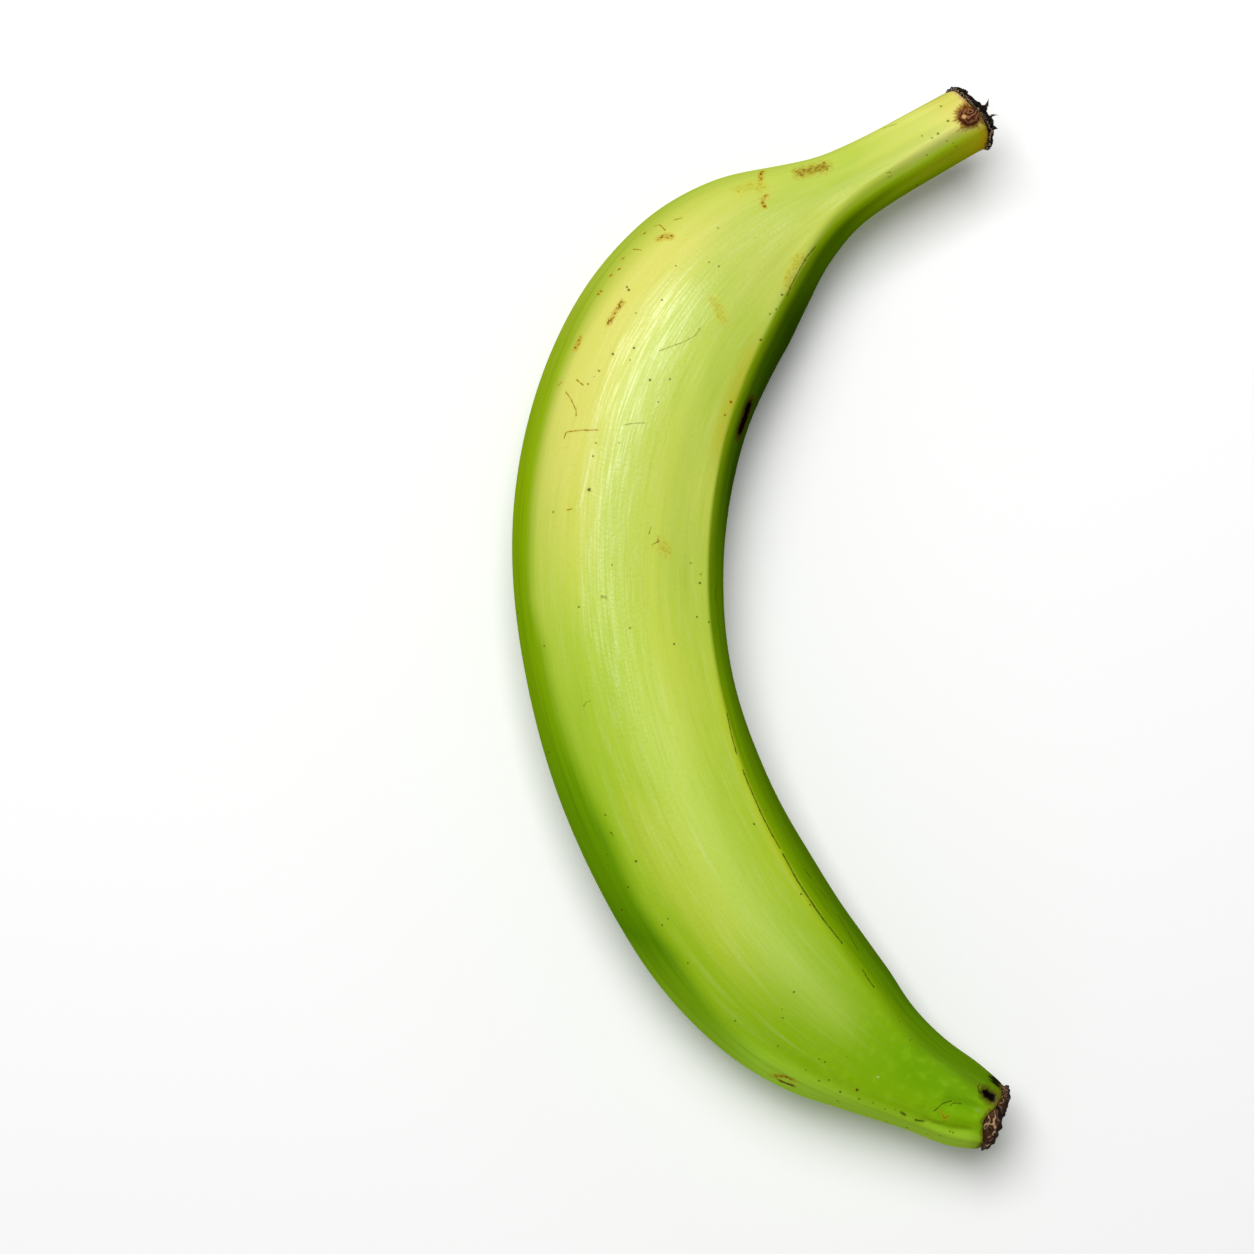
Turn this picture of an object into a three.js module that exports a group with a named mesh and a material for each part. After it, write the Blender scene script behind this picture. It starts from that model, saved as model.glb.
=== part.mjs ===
// A green plantain, as picked, lying on its side.
//
// The fruit grew in one piece, so it is one solid. Six blunt ridges run along it from end to end, and
// its belly is bent round a curve. One end is drawn out into the stem, which stops at the dry, torn
// scar where the fruit left its bunch. The other is drawn in to the dry stub of the flower.
//
// Millimetres, +Z up. The fruit rests on the plane z = 0, on a flat that its own weight has pressed,
// and the origin is under the middle of its box. The inner side of the bend is towards +X.

import * as THREE from "three";

// ---------------------------------------------------------------------------------------------------
// Driving dimensions. Each table gives its values at stations, which are distances along the
// centreline from the rim of the stem's scar, 0, to the rim of the flower's stub.
// ---------------------------------------------------------------------------------------------------

const LENGTH = 294;

// Which way the centreline runs, in degrees anticlockwise from +X, seen from above.
const STEM_END = { x: 45.74, y: 111.78 };
const HEADING_STATION = [0, 40, 70, 105, 140, 180, 220, 255, LENGTH];
const HEADING = [209, 211, 230, 254, 272, 289, 305, 321, 337];

// The fruit's width, from above: stem, neck, shoulder, belly, tail and nose.
const WIDTH_STATION = [0, 18, 31, 42, 54, 68, 86, 120, 170, 215, 240, 255, 267, 279, 289, LENGTH];
const WIDTH = [15, 15.4, 17.4, 24.8, 36, 43.6, 47, 48.2, 45.6, 44.8, 41, 35.8, 28, 22.2, 18.8, 14.6];

// How high its top and its underside are over the surface. Below 0, the underside is pressed flat.
const TOP_STATION = [0, 30, 54, 75, 110, 150, 200, 235, 262, 280, LENGTH];
const TOP = [32, 32.2, 35.4, 41, 44.6, 44.6, 42.6, 39, 33.4, 30, 27.6];
const UNDERSIDE_STATION = [0, 30, 44, 56, 70, 236, 252, 266, 280, LENGTH];
const UNDERSIDE = [18, 15.4, 9.5, 3, -0.4, -0.4, 1, 4.5, 9, 13];

// How far the faces between the ridges swell, from flat, 0, to an oval, 1. Below 0 they are hollow.
const SWELL_STATION = [0, 31, 54, 86, 170, 240, 270, 284, LENGTH];
const SWELL = [0.1, 0.15, 0.3, 0.42, 0.44, 0.4, 0.25, 0, -0.2];

// The ridges, in their order round the fruit. A ridge points in a direction, in degrees from the inner
// side of the bend, 0, through the top, 90. Its reach is its distance out, with the oval's as 1. Its
// rounding is how much of the face on each side of it, as a share, the rounded edge takes up.
const RIDGE_STATION = [0, 31, 58, 88, 145, 205, 240, 270, LENGTH];
const RIDGES = [
  {
    name: "inner upper",
    direction: [84, 69, 50, 39, 34, 41, 44, 50, 52],
    reach: [1, 1, 1.01, 1.02, 1.02, 1.03, 1.02, 1, 1],
    rounding: [0.16, 0.14, 0.1, 0.07, 0.05, 0.05, 0.07, 0.12, 0.2],
    facePoints: 4,
  },
  {
    name: "top, which shows only near the flower's stub",
    direction: [112, 108, 98, 92, 90, 92, 96, 104, 108],
    reach: [0.86, 0.84, 0.82, 0.82, 0.83, 0.83, 0.85, 0.92, 1],
    rounding: [0.4, 0.4, 0.4, 0.4, 0.4, 0.4, 0.4, 0.3, 0.2],
    facePoints: 3,
  },
  {
    name: "outer upper",
    direction: [150, 148, 144, 142, 141, 134, 136, 136, 140],
    reach: [1, 1, 1, 1, 1, 1, 1.01, 1.02, 1],
    rounding: [0.2, 0.2, 0.25, 0.25, 0.25, 0.2, 0.12, 0.12, 0.15],
    facePoints: 3,
  },
  {
    name: "outer",
    direction: [194, 194, 194, 192, 191, 191, 190, 190, 186],
    reach: [1, 1, 1, 1, 1, 1, 1, 1, 1],
    rounding: [0.2, 0.2, 0.2, 0.25, 0.3, 0.25, 0.2, 0.2, 0.2],
    facePoints: 3,
  },
  {
    name: "outer lower",
    direction: [238, 240, 242, 244, 244, 243, 240, 236, 230],
    reach: [1, 1, 1, 1, 1, 1, 1, 1, 1],
    rounding: [0.2, 0.2, 0.2, 0.2, 0.2, 0.2, 0.2, 0.2, 0.2],
    facePoints: 3,
  },
  {
    name: "inner lower",
    direction: [290, 292, 297, 302, 303, 303, 300, 294, 280],
    reach: [1, 1, 1, 1, 1, 1, 1, 1, 1],
    rounding: [0.2, 0.2, 0.2, 0.2, 0.2, 0.2, 0.2, 0.2, 0.2],
    facePoints: 3,
  },
  {
    name: "inner",
    direction: [346, 348, 350, 353, 353, 353, 353, 350, 338],
    reach: [1, 1, 1, 1, 1, 1, 1, 1, 1],
    rounding: [0.2, 0.2, 0.2, 0.2, 0.2, 0.2, 0.2, 0.2, 0.2],
    facePoints: 2,
  },
];

// Both ends are cut off askew: a point lies this much further along the fruit for each millimetre
// that it is off the centreline, towards the inner side or upwards.
const SKEW_STATION = [0, 14, 276, LENGTH];
const INWARD_SKEW = [-0.1, 0, 0, -0.04];
const UPWARD_SKEW = [-0.3, 0, 0, 0];

// The dry ends, as rings that carry on from the peel's rim: how far out each lies along the
// centreline, its width against the rim's, and how ragged it is.
const STEM_SCAR = [
  { out: 0.3, scale: 1.04, ragged: 0.15 },
  { out: 1.1, scale: 1.07, ragged: 0.4 },
  { out: 2.1, scale: 1.0, ragged: 0.6 },
  { out: 2.7, scale: 0.8, ragged: 0.5 },
  { out: 1.7, scale: 0.55, ragged: 0.4 },
  { out: 2.3, scale: 0.28, ragged: 0.3 },
];
const FLOWER_STUB = [
  { out: 0.4, scale: 0.97, ragged: 0.12 },
  { out: 1.3, scale: 1.02, ragged: 0.3 },
  { out: 2.7, scale: 1.0, ragged: 0.35 },
  { out: 3.7, scale: 0.86, ragged: 0.35 },
  { out: 3.3, scale: 0.56, ragged: 0.3 },
  { out: 3.9, scale: 0.26, ragged: 0.25 },
];
const SEED = 7;

const RINGS = 96; // steps along the peel
const POINTS_ON_RIDGE = 3; // round each rounded edge

// ---------------------------------------------------------------------------------------------------
// Helpers
// ---------------------------------------------------------------------------------------------------

// A smooth curve through the values, which never swings past them.
function between(stations, values, at) {
  const last = stations.length - 1;
  if (at <= stations[0]) return values[0];
  if (at >= stations[last]) return values[last];
  const slope = (i) => (values[i + 1] - values[i]) / (stations[i + 1] - stations[i]);
  const tangent = (i) => {
    if (i === 0 || i === last || slope(i - 1) * slope(i) <= 0) return 0;
    return (2 * slope(i - 1) * slope(i)) / (slope(i - 1) + slope(i));
  };
  const i = stations.findIndex((station) => station > at) - 1;
  const span = stations[i + 1] - stations[i];
  const t = (at - stations[i]) / span;
  const fromValues = values[i] + (values[i + 1] - values[i]) * t * t * (3 - 2 * t);
  const fromTangents = tangent(i) * t * (1 - t) ** 2 - tangent(i + 1) * t * t * (1 - t);
  return fromValues + span * fromTangents;
}

// Numbers from -1 to 1, the same on every run.
function seededNumbers(seed) {
  let state = seed;
  return () => {
    state = (state * 1664525 + 1013904223) % 2 ** 32;
    return (state / 2 ** 32) * 2 - 1;
  };
}

// ---------------------------------------------------------------------------------------------------
// The centreline
// ---------------------------------------------------------------------------------------------------

const STEP = 1;
const planPoints = [new THREE.Vector2(STEM_END.x, STEM_END.y)];
for (let at = STEP / 2; at < LENGTH; at += STEP) {
  const heading = THREE.MathUtils.degToRad(between(HEADING_STATION, HEADING, at));
  const ahead = new THREE.Vector2(Math.cos(heading), Math.sin(heading)).multiplyScalar(STEP);
  planPoints.push(planPoints[planPoints.length - 1].clone().add(ahead));
}

// The centreline's point at a station, and the directions there: along the fruit, towards the inner
// side of the bend, and up.
function centrelineAt(at) {
  const step = Math.min(Math.floor(at / STEP), planPoints.length - 2);
  const flat = planPoints[step].clone().lerp(planPoints[step + 1], at / STEP - step);
  const heading = THREE.MathUtils.degToRad(between(HEADING_STATION, HEADING, at));
  const height = (between(TOP_STATION, TOP, at) + between(UNDERSIDE_STATION, UNDERSIDE, at)) / 2;
  const along = new THREE.Vector3(Math.cos(heading), Math.sin(heading), 0);
  const inward = new THREE.Vector3(-along.y, along.x, 0);
  const up = new THREE.Vector3(0, 0, 1);
  return { point: new THREE.Vector3(flat.x, flat.y, height), along, inward, up };
}

// ---------------------------------------------------------------------------------------------------
// One section: points round the centreline, x towards the inner side and y up
// ---------------------------------------------------------------------------------------------------

function sectionAt(at) {
  const corners = RIDGES.map((ridge) => {
    const direction = THREE.MathUtils.degToRad(between(RIDGE_STATION, ridge.direction, at));
    const reach = between(RIDGE_STATION, ridge.reach, at);
    return new THREE.Vector2(Math.cos(direction), Math.sin(direction)).multiplyScalar(reach);
  });
  const roundings = RIDGES.map((ridge) => between(RIDGE_STATION, ridge.rounding, at));

  // The polygon of the ridges, with its corners rounded off.
  const outline = [];
  RIDGES.forEach((ridge, k) => {
    const next = (k + 1) % RIDGES.length;
    const before = (k + RIDGES.length - 1) % RIDGES.length;
    const roundFrom = corners[k].clone().lerp(corners[before], roundings[k]);
    const roundTo = corners[k].clone().lerp(corners[next], roundings[k]);
    const rounding = new THREE.QuadraticBezierCurve(roundFrom, corners[k], roundTo);
    outline.push(...rounding.getPoints(POINTS_ON_RIDGE - 1));
    const faceTo = corners[next].clone().lerp(corners[k], roundings[next]);
    for (let i = 1; i <= ridge.facePoints; i++) {
      outline.push(roundTo.clone().lerp(faceTo, i / (ridge.facePoints + 1)));
    }
  });

  // Its faces swell towards the oval.
  const swell = between(SWELL_STATION, SWELL, at);
  for (const point of outline) point.setLength(point.length() + (1 - point.length()) * swell);

  // The whole is as wide and as high as the fruit is here.
  const box = new THREE.Box2().setFromPoints(outline);
  const width = between(WIDTH_STATION, WIDTH, at);
  const height = between(TOP_STATION, TOP, at) - between(UNDERSIDE_STATION, UNDERSIDE, at);
  const scale = new THREE.Vector2(width, height).divide(box.getSize(new THREE.Vector2()));
  const middle = box.getCenter(new THREE.Vector2());
  return outline.map((point) => point.sub(middle).multiply(scale));
}

// ---------------------------------------------------------------------------------------------------
// The skin: rings of points along the centreline, joined up and closed at both ends
// ---------------------------------------------------------------------------------------------------

// The section at a station, moved out past the rim where it belongs to a dry end.
function ringAt(at, { out = 0, scale = 1, ragged = 0 } = {}, random = () => 0) {
  const { point, along, inward, up } = centrelineAt(at);
  const inwardSkew = between(SKEW_STATION, INWARD_SKEW, at);
  const upwardSkew = between(SKEW_STATION, UPWARD_SKEW, at);
  return sectionAt(at).map((offset) => {
    const side = offset.multiplyScalar(scale + (ragged * random()) / offset.length());
    const skewed = side.x * inwardSkew + side.y * upwardSkew;
    const onRing = point
      .clone()
      .addScaledVector(inward, side.x)
      .addScaledVector(up, side.y)
      .addScaledVector(along, out + skewed + ragged * random());
    onRing.z = Math.max(onRing.z, 0); // the flat underneath
    return onRing;
  });
}

function buildFruit() {
  const random = seededNumbers(SEED);
  const scar = STEM_SCAR.map((end) => ringAt(0, { ...end, out: -end.out }, random));
  const body = Array.from({ length: RINGS + 1 }, (_, i) => ringAt((LENGTH * i) / RINGS));
  const stub = FLOWER_STUB.map((end) => ringAt(LENGTH, end, random));
  const rings = [...scar.reverse(), ...body, ...stub];

  const around = rings[0].length;
  const corner = (ring, k) => ring * around + (k % around);
  const triangles = [];
  for (let ring = 0; ring + 1 < rings.length; ring++) {
    for (let k = 0; k < around; k++) {
      triangles.push(corner(ring, k), corner(ring, k + 1), corner(ring + 1, k));
      triangles.push(corner(ring, k + 1), corner(ring + 1, k + 1), corner(ring + 1, k));
    }
  }

  // A fan of triangles closes each end.
  const points = rings.flat();
  const middleOf = (ring) => {
    const sum = ring.reduce((total, point) => total.add(point), new THREE.Vector3());
    return sum.divideScalar(around);
  };
  const lastRing = rings.length - 1;
  points.push(middleOf(rings[0]), middleOf(rings[lastRing]));
  for (let k = 0; k < around; k++) {
    triangles.push(points.length - 2, corner(0, k + 1), corner(0, k));
    triangles.push(points.length - 1, corner(lastRing, k), corner(lastRing, k + 1));
  }

  const geometry = new THREE.BufferGeometry().setFromPoints(points);
  geometry.setIndex(triangles);
  geometry.computeBoundingBox();
  const middle = geometry.boundingBox.getCenter(new THREE.Vector3());
  geometry.translate(-middle.x, -middle.y, 0);
  geometry.computeVertexNormals();
  return geometry;
}

const peel = new THREE.MeshStandardMaterial({ color: 0xb4d052, roughness: 0.45, metalness: 0 });
const plantain = new THREE.Mesh(buildFruit(), peel);
plantain.name = "plantain";

const part = new THREE.Group();
part.add(plantain);

export default part;
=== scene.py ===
import math

import bpy
import numpy as np
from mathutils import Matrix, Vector, noise
from mathutils.bvhtree import BVHTree


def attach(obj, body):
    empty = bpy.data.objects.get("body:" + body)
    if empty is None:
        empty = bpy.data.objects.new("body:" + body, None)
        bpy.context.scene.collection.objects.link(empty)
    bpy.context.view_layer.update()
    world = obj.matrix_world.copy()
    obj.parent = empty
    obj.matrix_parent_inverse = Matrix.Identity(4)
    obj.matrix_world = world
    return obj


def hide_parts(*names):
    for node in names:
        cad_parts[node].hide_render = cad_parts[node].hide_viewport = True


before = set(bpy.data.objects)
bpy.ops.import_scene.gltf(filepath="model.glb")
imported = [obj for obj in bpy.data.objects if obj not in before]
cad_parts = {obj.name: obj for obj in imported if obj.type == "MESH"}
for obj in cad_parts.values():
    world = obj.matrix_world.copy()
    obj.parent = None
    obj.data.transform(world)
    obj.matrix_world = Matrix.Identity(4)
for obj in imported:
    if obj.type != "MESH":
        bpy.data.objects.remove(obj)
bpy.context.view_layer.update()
MM = 0.001

# ------------------------
# The view. The fruit lies on a pale table and is seen from straight above, from about a metre. The
# frame is square and takes in 282 mm at the height where the fruit is widest.
# ------------------------

# Sizes and places are in millimetres and angles in degrees, unless a comment says otherwise.
FRAME_PIXELS = 1254
PIXEL = 0.225  # width of one pixel of the frame, at the height where the fruit is widest
WIDEST_AT = 22.0
VIEW_MIDDLE = (-30.5, -2.2)
VIEW_DISTANCE = 950.0
SENSOR = 36.0

bpy.ops.object.select_all(action="DESELECT")
bpy.ops.object.camera_add(rotation=(0, 0, 0))
camera = bpy.context.object
camera.name = "overhead_camera"
camera.location = Vector((*VIEW_MIDDLE, WIDEST_AT + VIEW_DISTANCE)) * MM
camera.data.sensor_width = SENSOR
camera.data.lens = SENSOR * VIEW_DISTANCE / (FRAME_PIXELS * PIXEL)
camera.data.clip_start = 0.01
camera.data.clip_end = 10
bpy.context.scene.camera = camera

# ------------------------
# The peel: one waxy skin from the stem's scar to the flower's stub, with a crisp ridge along the
# bend's inner side and soft ones elsewhere. It is a finer copy of the solid fruit, opened at both
# ends, turned in there and closed behind the dry pieces that fill the openings.
# ------------------------

# The fruit grew along a bent centreline, and its fibres, streaks and ridges follow it. Patterns on the
# peel are laid out by distance along that line from the stem's end and by direction round it.
LENGTH = 294.0  # along the centreline, from the stem's rim to the flower stub's
STEM_END = (45.74, 111.78)
HEADING_STATION = [0, 40, 70, 105, 140, 180, 220, 255, LENGTH]
HEADING = [209, 211, 230, 254, 272, 289, 305, 321, 337]  # where the line is bound, from +X towards +Y
TOP_STATION = [0, 30, 54, 75, 110, 150, 200, 235, 262, 280, LENGTH]
TOP = [32, 32.2, 35.4, 41, 44.6, 44.6, 42.6, 39, 33.4, 30, 27.6]  # heights above the table
UNDERSIDE_STATION = [0, 30, 44, 56, 70, 236, 252, 266, 280, LENGTH]
UNDERSIDE = [18, 15.4, 9.5, 3, 0, 0, 1, 4.5, 9, 13]
STEM_SKEW = (-0.1, -0.3)  # how far the stem's cut runs along, per millimetre inward and upward
STUB_SKEW = (-0.04, 0.0)


def between(stations, values, at):
    """A smooth curve through the values, which never swings past them."""
    stations, values = np.array(stations, float), np.array(values, float)
    slope = np.diff(values) / np.diff(stations)
    tangent = np.zeros(len(values))
    same_way = slope[:-1] * slope[1:] > 0
    total = np.where(same_way, slope[:-1] + slope[1:], 1)
    tangent[1:-1] = np.where(same_way, 2 * slope[:-1] * slope[1:] / total, 0)
    at = np.clip(at, stations[0], stations[-1])
    i = np.clip(np.searchsorted(stations, at, side="right") - 1, 0, len(slope) - 1)
    span = stations[i + 1] - stations[i]
    t = (at - stations[i]) / span
    ends = values[i] + (values[i + 1] - values[i]) * t * t * (3 - 2 * t)
    return ends + span * (tangent[i] * t * (1 - t) ** 2 - tangent[i + 1] * t * t * (1 - t))


# The centreline, in steps of a millimetre.
turn = np.radians(between(HEADING_STATION, HEADING, np.arange(0, LENGTH) + 0.5))
line = np.cumsum(np.stack([np.cos(turn), np.sin(turn)], 1), axis=0) + STEM_END
line = np.concatenate([[STEM_END], line])
line_along = np.arange(len(line), dtype=float)
line_turn = np.radians(between(HEADING_STATION, HEADING, line_along))
line_ahead = np.stack([np.cos(line_turn), np.sin(line_turn)], 1)
line_inward = np.stack([-np.sin(line_turn), np.cos(line_turn)], 1)
BATCHES = 12  # keeps the tables of distances small


def growth(points):
    """Each point's distance along the fruit, how far inward and upward of the centreline it is, and
    its direction round it in degrees: 0 on the bend's inner side, 90 on top, 180 on the outer."""
    flat = points[:, :2]
    nearest = np.concatenate([
        ((some[:, None] - line[None]) ** 2).sum(2).argmin(1) for some in np.array_split(flat, BATCHES)
    ])
    offset = flat - line[nearest]
    along = line_along[nearest] + (offset * line_ahead[nearest]).sum(1)
    inward = (offset * line_inward[nearest]).sum(1)
    middle = (between(TOP_STATION, TOP, along) + between(UNDERSIDE_STATION, UNDERSIDE, along)) / 2
    upward = points[:, 2] - middle
    direction = np.degrees(np.arctan2(upward, inward))
    return along, inward, upward, (direction + 90) % 360 - 90


def rise(value, low, high):
    """A smooth step from 0 at low to 1 at high, which may be the smaller of the two."""
    t = np.clip((value - low) / (high - low), 0, 1)
    return t * t * (3 - 2 * t)


STEM_BULGE = 1.5  # how far the peel's rim bulges over the stem's scar
STEM_BULGE_AT = 30  # on which side it does
STEM_BULGE_SPREAD = 38
STUB_REACH = 1.3  # how much further than the solid's the peel's rim reaches over the flower's stub
STUB_DIP = 2.1  # how far it dips back on top of the stub
STUB_DIP_AT = 101
STUB_DIP_SPREAD = 27


def from_cuts(points):
    """How far inside the solid fruit's two end rims each point lies."""
    along, inward, upward, _ = growth(points)
    from_stem = along - STEM_SKEW[0] * inward - STEM_SKEW[1] * upward
    return from_stem, LENGTH + STUB_SKEW[0] * inward + STUB_SKEW[1] * upward - along


def on_side(points, direction, spread):
    """1 where a point lies in a direction round the fruit, fading to 0 on either side of it."""
    return np.exp(-(((growth(points)[3] - direction) / spread) ** 2))


def stem_bulge(points):
    return STEM_BULGE * on_side(points, STEM_BULGE_AT, STEM_BULGE_SPREAD)


def stub_dip(points):
    return STUB_DIP * on_side(points, STUB_DIP_AT, STUB_DIP_SPREAD)


def from_rims(points):
    """The same for the rims of the peel, which reach further over the dry ends than the solid's,
    but dip back on top of the flower's stub."""
    from_stem, from_stub = from_cuts(points)
    return from_stem + stem_bulge(points), from_stub + STUB_REACH - stub_dip(points)


def points_of(piece):
    """The piece's vertices, in millimetres."""
    points = np.empty(len(piece.data.vertices) * 3)
    piece.data.vertices.foreach_get("co", points)
    return points.reshape(-1, 3) / MM


def set_points(piece, points):
    piece.data.vertices.foreach_set("co", (points * MM).ravel())
    piece.data.update()


def normals_of(piece):
    normals = np.empty(len(piece.data.vertices) * 3)
    piece.data.vertices.foreach_get("normal", normals)
    return normals.reshape(-1, 3)


def only_select(piece):
    bpy.ops.object.select_all(action="DESELECT")
    piece.select_set(True)
    bpy.context.view_layer.objects.active = piece


def split_off(piece, chosen, name):
    """Parts the faces whose vertices are all chosen from the piece, as a piece of their own."""
    for part in (piece.data.vertices, piece.data.edges):
        part.foreach_set("select", [False] * len(part))
    faces = [all(chosen[v] for v in face.vertices) for face in piece.data.polygons]
    piece.data.polygons.foreach_set("select", faces)
    only_select(piece)
    bpy.ops.object.mode_set(mode="EDIT")
    bpy.ops.mesh.select_mode(type="FACE")
    bpy.ops.mesh.separate(type="SELECTED")
    bpy.ops.object.mode_set(mode="OBJECT")
    made = next(o for o in bpy.context.selected_objects if o is not piece)
    made.name = name
    return made


def close_openings(piece, turned_in):
    """Turns the piece's open edges in by a width and a depth in millimetres, and closes them."""
    only_select(piece)
    bpy.ops.object.mode_set(mode="EDIT")
    bpy.ops.mesh.select_mode(type="EDGE")
    bpy.ops.mesh.select_all(action="DESELECT")
    bpy.ops.mesh.select_non_manifold()
    bpy.ops.mesh.edge_face_add()
    bpy.ops.mesh.select_mode(type="FACE")
    for width, depth in turned_in:
        bpy.ops.mesh.inset(thickness=width * MM, depth=-depth * MM)
    bpy.ops.object.mode_set(mode="OBJECT")


def make_finer(piece, levels):
    only_select(piece)
    finer = piece.modifiers.new("finer", "SUBSURF")
    finer.levels = finer.render_levels = levels
    bpy.ops.object.modifier_apply(modifier=finer.name)
    bpy.ops.object.shade_smooth()


SEED_STEP = 17.3  # takes each seed's noise far from the others'


def rough(points, size, seed):
    """Smooth noise from -1 to 1 at each point, for lumps of one size or of a size in each axis."""
    places = points / np.array(size) + seed * SEED_STEP
    return np.array([noise.noise(place) for place in places.tolist()])


def round_and_along(along, direction, radius=20.0):
    """Places on a plain cylinder, so that patterns run lengthwise and meet all the way round."""
    bearing = np.radians(direction)
    return np.stack([radius * np.cos(bearing), radius * np.sin(bearing), along], 1)


SAME_PLACE = 0.002  # vertices nearer than this to each other are one
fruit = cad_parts["plantain"]
peel = bpy.data.objects.new("peel", fruit.data.copy())
bpy.context.scene.collection.objects.link(peel)
only_select(peel)
bpy.ops.object.mode_set(mode="EDIT")
bpy.ops.mesh.select_all(action="SELECT")
bpy.ops.mesh.remove_doubles(threshold=SAME_PLACE * MM)
bpy.ops.mesh.tris_convert_to_quads(face_threshold=math.pi, shape_threshold=math.pi)
bpy.ops.object.mode_set(mode="OBJECT")
peel.data.materials.clear()

SLACK = 0.1  # keeps a rim's own vertices on both sides of a split
stem_scar = split_off(peel, from_cuts(points_of(peel))[0] < SLACK, "stem_scar")
flower_stub = split_off(peel, from_cuts(points_of(peel))[1] < SLACK, "flower_stub")

# The peel's rims bulge out over the ends, and the dry pieces are the thinner for it. The fruit is a
# little fuller on its outer side near the flower's end, and on the stem's inner side.
STEM_OUTWARD = np.array((*-line_ahead[0], 0.0))
STUB_OUTWARD = np.array((*line_ahead[-1], 0.0))
STEM_FADE = 9  # how far inside the stem's rim the bulge has died away
STUB_FADE = 7
DIP_FADE = 2.5  # how far outside the solid's rim the dip has died away
SCAR_THINNING = 0.36
STUB_THINNING = 0.42
FULLER = [  # how far the side moves towards the bend's inner side, where along, half length, direction
    (-1.05, 238, 24, 182),
    (-1.1, 292, 8, 175),
    (0.65, 12, 22, -5),
]
FULLER_SPREAD = 50
PEEL_TURNED_IN = [(0.45, 0.0), (0.6, 0.9)]  # width and depth of each turn
for piece in (peel, stem_scar, flower_stub):
    points = points_of(piece)
    from_stem, from_stub = from_cuts(points)
    stem_move = stem_bulge(points) * rise(from_stem, STEM_FADE, 0)
    stem_move += SCAR_THINNING * np.minimum(from_stem, 0)
    dip = stub_dip(points) * rise(from_stub, -DIP_FADE, 0)
    stub_move = (STUB_REACH - dip) * rise(from_stub, STUB_FADE, 0)
    stub_move += STUB_THINNING * np.minimum(from_stub, 0)
    along = growth(points)[0]
    inner_way = np.stack([np.interp(along, line_along, way) for way in line_inward.T], 1)
    for inward, where, half_length, side in FULLER:
        fuller = inward * np.exp(-(((along - where) / half_length) ** 2))
        fuller *= on_side(points, side, FULLER_SPREAD)
        points[:, :2] += fuller[:, None] * inner_way
    moved = np.outer(stem_move, STEM_OUTWARD) + np.outer(stub_move, STUB_OUTWARD)
    set_points(piece, points + moved)
close_openings(peel, PEEL_TURNED_IN)
make_finer(peel, 2)

# Seen from the camera, the pixels where marks and ridges lie lead to places on the peel.
peel_tree = BVHTree.FromPolygons(
    points_of(peel).tolist(), [list(face.vertices) for face in peel.data.polygons]
)
eye = Vector((*VIEW_MIDDLE, WIDEST_AT + VIEW_DISTANCE))


def on_peel(pixels):
    """The places on the peel, in millimetres, that the camera sees at these pixels of the frame."""
    found = []
    for x, y in pixels:
        across, down = (x - FRAME_PIXELS / 2) * PIXEL, (y - FRAME_PIXELS / 2) * PIXEL
        place, _, _, _ = peel_tree.ray_cast(eye, Vector((across, -down, -VIEW_DISTANCE)))
        if place is not None:
            found.append(place)
    return np.array(found)


# Two ridges bound the top face. Both run the whole length.
INNER_RIDGE = [
    (981, 124), (962, 132), (939, 145), (912, 163), (877, 185), (833, 220), (805, 262), (776, 311),
    (742, 387), (716, 478), (708, 567), (711, 632), (727, 713), (747, 778), (783, 854), (837, 941),
    (884, 1009), (919, 1048), (954, 1072), (974, 1090),
]
OUTER_RIDGE = [
    (533, 540), (533, 600), (546, 647), (561, 716), (577, 762), (613, 837), (639, 900), (679, 956),
    (722, 1017), (751, 1042), (790, 1067), (844, 1093), (899, 1116), (948, 1133), (976, 1137),
]

# The skin is never quite even: it swells and sinks a little along its ridges, near the flower's end
# it is gathered into folds, and a low ring stands round the knot.
SKIN_SWELLS = [(0.22, (7, 7, 34), 1), (0.05, (1.6, 1.6, 16), 2)]  # height, sizes round and along, seed
FOLDS = [  # depth, or height where it is negative, then half width, then where
    (0.55, 1.2, [(948, 1103), (961, 1105), (975, 1108), (991, 1112)]),
    (0.4, 1.1, [(926, 1122), (950, 1130), (968, 1131), (984, 1132)]),
    (0.8, 1.3, [(987, 1092), (992, 1098)]),
    (-0.35, 1.6, [(955, 1116), (975, 1120), (984, 1122)]),
    (-0.3, 1.8, [(950, 1086), (968, 1094), (980, 1102)]),
    (-0.25, 0.7, [(921, 1097), (921, 1104)]),
    (-0.25, 0.7, [(934, 1119), (937, 1121)]),
]
KNOT = (969, 116)  # where a bract was joined to the stem
KNOT_RING_RADIUS = 2.08
KNOT_RING_HEIGHT = 0.35
KNOT_RING_HALF_WIDTH = 0.55
RINGS_MIDDLE = (970, 112)
TAN_SPOT = (964, 117)


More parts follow.
